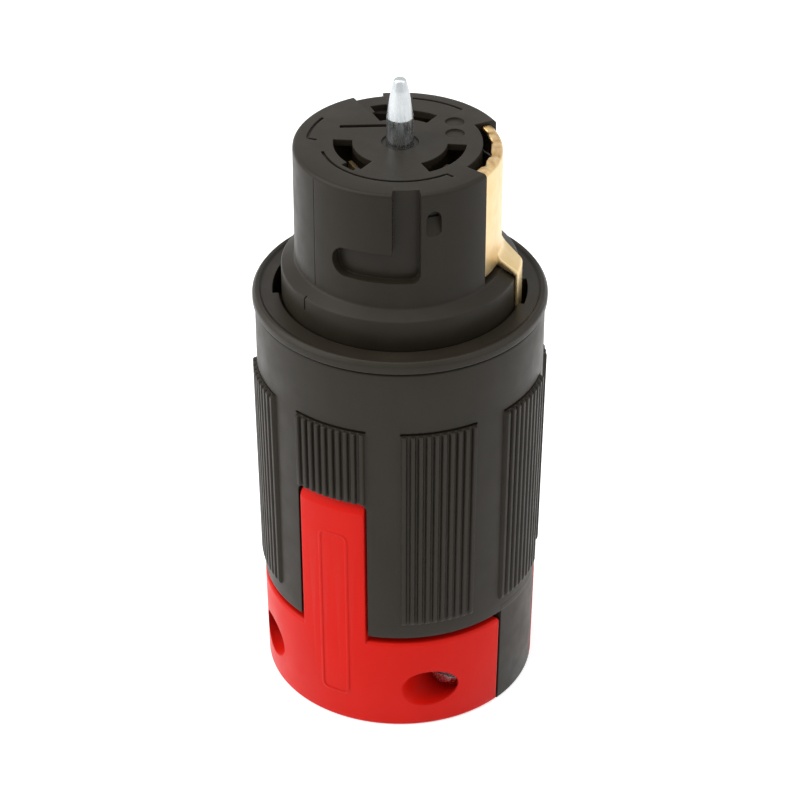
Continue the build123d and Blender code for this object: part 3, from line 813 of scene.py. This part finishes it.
def screw_holes(front):
    """Cutters of the two screw holes of a clamp half, seen from its own side."""
    cutters = []
    for x in (-SCREW_X, SCREW_X):
        if front:
            counterbore = circle(COUNTERBORE_R, x, SCREW_Z, 64)
            hole = circle(SHANK_HOLE_R, x, SCREW_Z, 32)
            cutters.append(prism("cutter", counterbore, SCREW_SEAT, OUTSIDE, UPRIGHT))
            cutters.append(prism("cutter", hole, UNDER, SHANK_HOLE_END, UPRIGHT))
        else:
            hole = circle(THREAD_HOLE_R, x, SCREW_Z, 32)
            cutters.append(prism("cutter", hole, UNDER, THREAD_HOLE_END, UPRIGHT))
    return cutters


def clamp_tongue():
    """Tongue of a clamp half, sloping back over its top band."""
    low_z, crest_z = CLAMP_TOP_Z - TONGUE_START, TONGUE_Z - TONGUE_BAND
    profile = rounded([(0, low_z), (skin_r(low_z), low_z),
                       (skin_r(crest_z) + TONGUE_PROUD, crest_z, TONGUE_CREST_EDGE),
                       (skin_r(crest_z) - TONGUE_SINK, TONGUE_Z, TONGUE_TOP_EDGE), (0, TONGUE_Z)])
    tongue = lathe("tongue", profile, spread(0, 360, 3.0))
    boolean(tongue, [prism("cutter", tongue_outline(), TONGUE_IN, OUTSIDE, UPRIGHT)], "INTERSECT")
    bevelled(tongue, TONGUE_EDGE, 3)
    return tongue


def build_clamp(name, node, front, material):
    """Clamp half with its tongue, made at the front and turned for the rear one."""
    ring = lathe("clamp", rounded([(CORD_R, 0, CORD_LOW_EDGE), (FOOT_R, 0, CLAMP_EDGE),
                                   (skin_r(CLAMP_TOP_Z), CLAMP_TOP_Z, CLAMP_EDGE),
                                   (CORD_R, CLAMP_TOP_Z, CORD_TOP_EDGE)]), spread(0, 360, 1.2))
    reach = LEG_FRONT if front else LEG_BACK
    behind = box((-CLAMP_CUT, -CLAMP_SPLIT, UNDER), (CLAMP_CUT, CLAMP_CUT, CLAMP_CUT_TOP_Z))
    rooms = [leg_room(reach), turned_about_z(leg_room(reach), 180)]
    boolean(ring, [behind] + rooms + screw_holes(front))
    boolean(ring, [clamp_tongue()], "UNION")
    if front:
        ring = joined("clamp", [ring, tongue_frame()])
    else:
        turned_about_z(ring, 180)
    finished(ring, name, node, material)


def build_clamp_screws(material):
    """Two slotted screws in the counterbores of the front half."""
    shank = [(0, SHANK_END), (SHANK_POINT_R, SHANK_END), (SHANK_R, SHANK_END - SHANK_POINT),
             (SHANK_R, -SCREW_SEAT), (HEAD_R, -SCREW_SEAT)]
    head = rounded(HEAD_OUTLINE, closed=False)
    lying = Matrix.Rotation(radians(-90), 4, "X")
    screws = []
    for x in (-SCREW_X, SCREW_X):
        screw = lathe("screw", shank + head, spread(0, 360, 7.5))
        boolean(screw, [box((-DRIVE_REACH, -DRIVE_HALF, DRIVE_START),
                            (DRIVE_REACH, DRIVE_HALF, DRIVE_FLOOR))])
        screw.data.transform(Matrix.Translation((x * MM, 0, SCREW_Z * MM)) @ lying)
        screws.append(screw)
    finished(joined("screws", screws), "clamp_screw_pair", "clamp_screws", material)


# Nose

def channel_cutter(start, end):
    """J-shaped channel: upright run, leg to the left with a round end, and a rounded bend."""
    low, end_r, bend_r = CHANNEL_LOW_Z, CHANNEL_END_R, CHANNEL_BEND_R
    centre = start - CHANNEL_LEG_ANGLE + end_r * NOSE_TURN
    outline = [(end, OVER_FACE_Z), (start, OVER_FACE_Z), (start, CHANNEL_HIGH_Z), (centre, CHANNEL_HIGH_Z)]
    outline += [(centre - end_r * NOSE_TURN * sin(radians(a)), low + end_r + end_r * cos(radians(a)))
                for a in spread(0, 180, 15)]
    outline += [(end - bend_r * NOSE_TURN * (1 - sin(radians(a))), low + bend_r * (1 - cos(radians(a))))
                for a in spread(0, 90, 15)]
    return wrapped(outline, lambda z: CHANNEL_FLOOR_R, lambda z: CHANNEL_OUT_R)


def scoop_floor_r(z):
    """Radius of the scoop's sloping floor."""
    return NOSE_R - SCOOP_START - SCOOP_SLOPE * (z - SCOOP_LOW_Z) / (SCOOP_HIGH_Z - SCOOP_LOW_Z)


def scoop_cutters():
    """Small scoop beside the upright channel: deep and dark at its top, sloping out below."""
    middle, half, corner = SCOOP_AZIMUTH, SCOOP_HALF, SCOOP_CORNER
    bowl = [(middle + half * NOSE_TURN, SCOOP_HIGH_Z), (middle - half * NOSE_TURN, SCOOP_HIGH_Z)]
    for side in (-1, 1):
        turns = spread(0, 90, 30) if side < 0 else spread(90, 0, 30)
        bowl += [(middle + side * NOSE_TURN * (half - corner + corner * cos(radians(a))),
                  SCOOP_LOW_Z + corner * (1 - sin(radians(a)))) for a in turns]
    dome = [(middle - half * NOSE_TURN * cos(radians(a)), SCOOP_DOME_Z + SCOOP_DOME * sin(radians(a)))
            for a in spread(0, 180, 20)]
    return [wrapped(bowl, scoop_floor_r, lambda z: SCOOP_OUT_R),
            wrapped(dome, lambda z: NOSE_R - SCOOP_DEPTH, lambda z: SCOOP_OUT_R)]


def groove(points, width, depth):
    """Narrow groove in the face along (x, y) points."""
    half = width / 2
    left, right = [], []
    for i, point in enumerate(points):
        here = Vector(point)
        ahead = Vector(points[min(i + 1, len(points) - 1)])
        behind = Vector(points[max(i - 1, 0)])
        run = (ahead - behind).normalized()
        side = Vector((-run.y, run.x)) * half
        left.append(tuple(here + side))
        right.append(tuple(here - side))
    return prism("cutter", left + right[::-1], FACE_Z - depth, FACE_Z + OVER_MARKS)


def face_marks():
    """Shallow grooves, slit and dimples of the face."""
    marks = []
    for radius, start, end, hook_r, hook_azimuth, depth in FACE_ARCS:
        points = [flat_spot(radius, a) for a in spread(start, end, 2.0)]
        if hook_r:
            points.append(flat_spot(hook_r, hook_azimuth))
        marks.append(groove(points, ARC_WIDTH, depth))
    marks.append(groove(SLIT, SLIT_WIDTH, SLIT_DEPTH))
    marks.append(prism("cutter", circle(PIN_RING_R), FACE_Z - PIN_RING_DEPTH, FACE_Z + OVER_MARKS))
    for x, y in DIMPLES:
        marks.append(prism("cutter", circle(DIMPLE_R, x, y, 32), FACE_Z - DIMPLE_DEPTH, FACE_Z + OVER_MARKS))
    return marks


def line_cutters():
    """Cutters of the cavities, the arc slots and the wider ends of two slots."""
    cutters = []
    for middle in LINE_AZIMUTHS:
        cavity = box((-CAVITY_HALF, CAVITY_Y[0], CAVITY_Z[0]), (CAVITY_HALF, CAVITY_Y[1], CAVITY_Z[1]))
        cutters.append(turned_about_z(cavity, middle))
        cutters.append(sector(*ARC_SLOT_R, middle - ARC_SLOT_HALF, middle + ARC_SLOT_HALF,
                              ARC_SLOT_LOW_Z, OVER_FACE_Z))
    for cut in SLOT_END_CUTS:
        cutters.append(sector(*cut, SLOT_END_LOW_Z, OVER_FACE_Z))
    return cutters


def build_nose(material):
    """Nose with its shoulder, slots, channels, scoop, notch and face marks."""
    profile = rounded([(0, SEAT_Z), (FLANGE_R, SEAT_Z, FLANGE_EDGE), (FLANGE_R, SHOULDER_Z, SHOULDER_EDGE),
                       (NOSE_R, NOSE_BASE_Z, NOSE_BASE_EDGE), (NOSE_R, FACE_Z, FACE_EDGE), (0, FACE_Z)])
    nose = lathe("nose", profile, spread(0, 360, 1.5))
    cutters = line_cutters()
    cutters.append(prism("cutter", circle(PIN_BORE_R), PIN_FOOT_Z, OVER_FACE_Z))
    cutters += [channel_cutter(*channel) for channel in CHANNELS] + scoop_cutters()
    notch = (STRIP_AZIMUTH - NOTCH_HALF, STRIP_AZIMUTH + NOTCH_HALF)
    cutters.append(sector(NOTCH_R, NOTCH_OUT_R, *notch, NOTCH_FLOOR_Z, OVER_FACE_Z))
    for azimuth in ASSEMBLY_AZIMUTHS:
        hole = circle(ASSEMBLY_HOLE_R, *flat_spot(ASSEMBLY_R, azimuth), 24)
        cutters.append(prism("cutter", hole, *ASSEMBLY_HOLE_Z))
    cutters += face_marks()
    cutters += [sector(*line) for line in PARTING_LINES]
    boolean(nose, cutters)
    finished(nose, "nose_moulding", "contact_nose", material)


# Metal pieces

def crimped(radius, azimuth, z):
    """Pinch the inner edge of the strip's lip at four places."""
    if radius > CRIMP_R or z < CRIMP_LOW_Z:
        return radius, azimuth, z
    near = min(abs(azimuth - place) for place in CRIMPS)
    pinch = 0.5 + 0.5 * cos(pi * min(1.0, near / CRIMP_HALF))
    reach = (CRIMP_R - radius) / CRIMP_REACH
    return radius + CRIMP_IN * pinch * reach, azimuth, z - CRIMP_DOWN * pinch * reach


def narrowed(radius, azimuth, z):
    """Taper the foot towards its outer bend, from the side at the back."""
    share = min(1.0, max(0.0, (radius - FOOT_TAPER_START_R) / FOOT_TAPER_LENGTH))
    front = FOOT_AZIMUTHS[0]
    return radius, front + (azimuth - front) * (1 - FOOT_TAPER * share), z


def build_ground_strap(material):
    """Formed brass strap with a rolled top lip, a foot over the shoulder and a tail inside."""
    strip = reshaped(lathe("strip", rounded(STRIP_OUTLINE), spread(*STRIP_AZIMUTHS, 1.0)), crimped)
    foot = reshaped(lathe("foot", rounded(FOOT_OUTLINE), spread(*FOOT_AZIMUTHS, 1.2)), narrowed)
    tail = box((-TAIL_HALF, TAIL_Y[0], TAIL_Z[0]), (TAIL_HALF, TAIL_Y[1], TAIL_Z[1]))
    boolean(tail, [prism("cutter", circle(TAIL_HOLE_R, 0, TAIL_HOLE_Y, 24), *TAIL_HOLE_Z)])
    turned_about_z(tail, TAIL_AZIMUTH)
    strap = joined("strap", [strip, foot, tail])
    bevelled(strap, STRAP_EDGE, 2)
    finished(strap, "ground_strap", "ground_contact", material)


def build_pin(material):
    """Turned pilot pin with a tapered and rounded tip."""
    pin = lathe("pin", rounded(PIN_OUTLINE, steps=8), spread(0, 360, 4.0))
    finished(pin, "pilot_pin_turned", "pilot_pin", material)


def dress_inner_parts(materials):
    """Give each CAD object that stays its material."""
    for node, material in materials.items():
        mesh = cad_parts[node].data
        mesh.materials.clear()
        mesh.materials.append(material)


# Stage, lamps and camera

def seen_directly(nodes, links):
    """1 for camera, glossy and transmission rays."""
    path = nodes.new("ShaderNodeLightPath")
    total = path.outputs["Is Camera Ray"]
    for name in ("Is Glossy Ray", "Is Transmission Ray"):
        add = nodes.new("ShaderNodeMath")
        add.operation = "MAXIMUM"
        links.new(total, add.inputs[0])
        links.new(path.outputs[name], add.inputs[1])
        total = add.outputs["Value"]
    return total


def build_floor():
    """Pale floor that keeps the shadow, and is brighter to camera, mirror and transmission rays."""
    bm = bmesh.new()
    bmesh.ops.create_circle(bm, cap_ends=True, segments=64, radius=FLOOR_R)
    floor = new_object("floor", bm)
    material, nodes, links, shader, place = new_material("floor_white")
    shader.inputs["Base Color"].default_value = (FLOOR_TONE, FLOOR_TONE, FLOOR_TONE, 1.0)
    shader.inputs["Roughness"].default_value = 0.9
    glow = nodes.new("ShaderNodeEmission")
    glow.inputs["Color"].default_value = (1, 1, 1, 1)
    glow.inputs["Strength"].default_value = FLOOR_GLOW
    both = nodes.new("ShaderNodeAddShader")
    links.new(shader.outputs["BSDF"], both.inputs[0])
    links.new(glow.outputs["Emission"], both.inputs[1])
    mix = nodes.new("ShaderNodeMixShader")
    links.new(seen_directly(nodes, links), mix.inputs["Fac"])
    links.new(shader.outputs["BSDF"], mix.inputs[1])
    links.new(both.outputs["Shader"], mix.inputs[2])
    links.new(mix.outputs["Shader"], nodes["Material Output"].inputs["Surface"])
    floor.data.materials.append(material)


def build_world():
    """Even white surroundings: full strength where seen, lower as a lamp."""
    world = bpy.data.worlds.new("studio")
    bpy.context.scene.world = world
    world.use_nodes = True
    nodes, links = world.node_tree.nodes, world.node_tree.links
    background = nodes["Background"]
    background.inputs["Color"].default_value = (1, 1, 1, 1)
    seen = seen_directly(nodes, links)
    strength = spanned(nodes, links, seen, WORLD_AS_LAMP, WORLD_AS_SEEN, 0.0, 1.0)
    links.new(strength, background.inputs["Strength"])


def lamp(name, azimuth, elevation, size, power, distance=1.6):
    """Soft rectangular lamp aimed at the middle of the object."""
    data = bpy.data.lights.new(name, "AREA")
    data.shape = "RECTANGLE"
    data.size, data.size_y = size
    data.energy = power
    light = bpy.data.objects.new(name, data)
    bpy.context.scene.collection.objects.link(light)
    a, e = radians(azimuth), radians(elevation)
    light.location = LAMP_TARGET + Vector((sin(a) * cos(e), -cos(a) * cos(e), sin(e))) * distance
    light.rotation_euler = (LAMP_TARGET - light.location).to_track_quat("-Z", "Y").to_euler()


def build_camera():
    """Camera at the photograph's angle."""
    data = bpy.data.cameras.new("camera")
    data.sensor_width = 36.0
    data.lens = CAMERA_LENS_MM
    data.clip_start = 0.01
    camera = bpy.data.objects.new("camera", data)
    bpy.context.scene.collection.objects.link(camera)
    azimuth = radians(CAMERA_AZIMUTH)
    camera.location = (CAMERA_OUT * sin(azimuth), -CAMERA_OUT * cos(azimuth), CAMERA_UP)
    camera.rotation_euler = (radians(90 - CAMERA_PITCH), 0, azimuth)
    bpy.context.scene.camera = camera


# The scene

housing_black = moulded_plastic("housing_black", (0.0175, 0.0140, 0.0092), (0.0220, 0.0178, 0.0120),
                                rough=0.42, grain_mm=0.35, grain=0.35, edge_mm=0.35, specular=0.18)
nose_black = moulded_plastic("nose_black", (0.0165, 0.0133, 0.0090), (0.0205, 0.0166, 0.0115),
                             rough=0.40, grain_mm=0.4, grain=0.22, edge_mm=0.35, specular=0.15)
clamp_red = moulded_plastic("clamp_red", (0.57, 0.0065, 0.0022), (0.64, 0.0085, 0.0032),
                            rough=0.38, grain_mm=0.5, grain=0.12, edge_mm=0.55, specular=0.12)
# The brass's third colour is painted shade for the spots along the crimped lip
brass = formed_brass("brass_formed", (0.67, 0.50, 0.25), (0.74, 0.57, 0.32), (0.40, 0.21, 0.06),
                     rough=0.36, grain=0.3)
nickel = sheet_metal("nickel_plated", (0.48, 0.51, 0.525), (0.54, 0.565, 0.575), rough=0.26, grain=0.05)
steel = sheet_metal("steel_plain", (0.50, 0.51, 0.52), (0.62, 0.62, 0.63), rough=0.32, grain=0.3)

build_housing(housing_black)
build_clamp("clamp_front", "cord_clamp_front", True, clamp_red)
build_clamp("clamp_rear", "cord_clamp_rear", False, clamp_red)
build_clamp_screws(nickel)
build_nose(nose_black)
build_ground_strap(brass)
build_pin(nickel)

inner_materials = {"terminal_carrier": nose_black}
for letter in "abc":
    inner_materials["line_contact_" + letter] = brass
    inner_materials["contact_spring_" + letter] = steel
    inner_materials["wire_plate_" + letter] = steel
for node in ("line_terminal_screws", "ground_spring", "ground_terminal_screw", "assembly_screws"):
    inner_materials[node] = steel
dress_inner_parts(inner_materials)

build_floor()
build_world()
lamp("key_left", azimuth=-55, elevation=38, size=(1.5, 1.8), power=25)
lamp("fill_right", azimuth=105, elevation=35, size=(1.6, 1.6), power=8)
lamp("top", azimuth=30, elevation=82, size=(1.4, 1.4), power=11)
build_camera()

bpy.context.scene.view_settings.view_transform = "Standard"
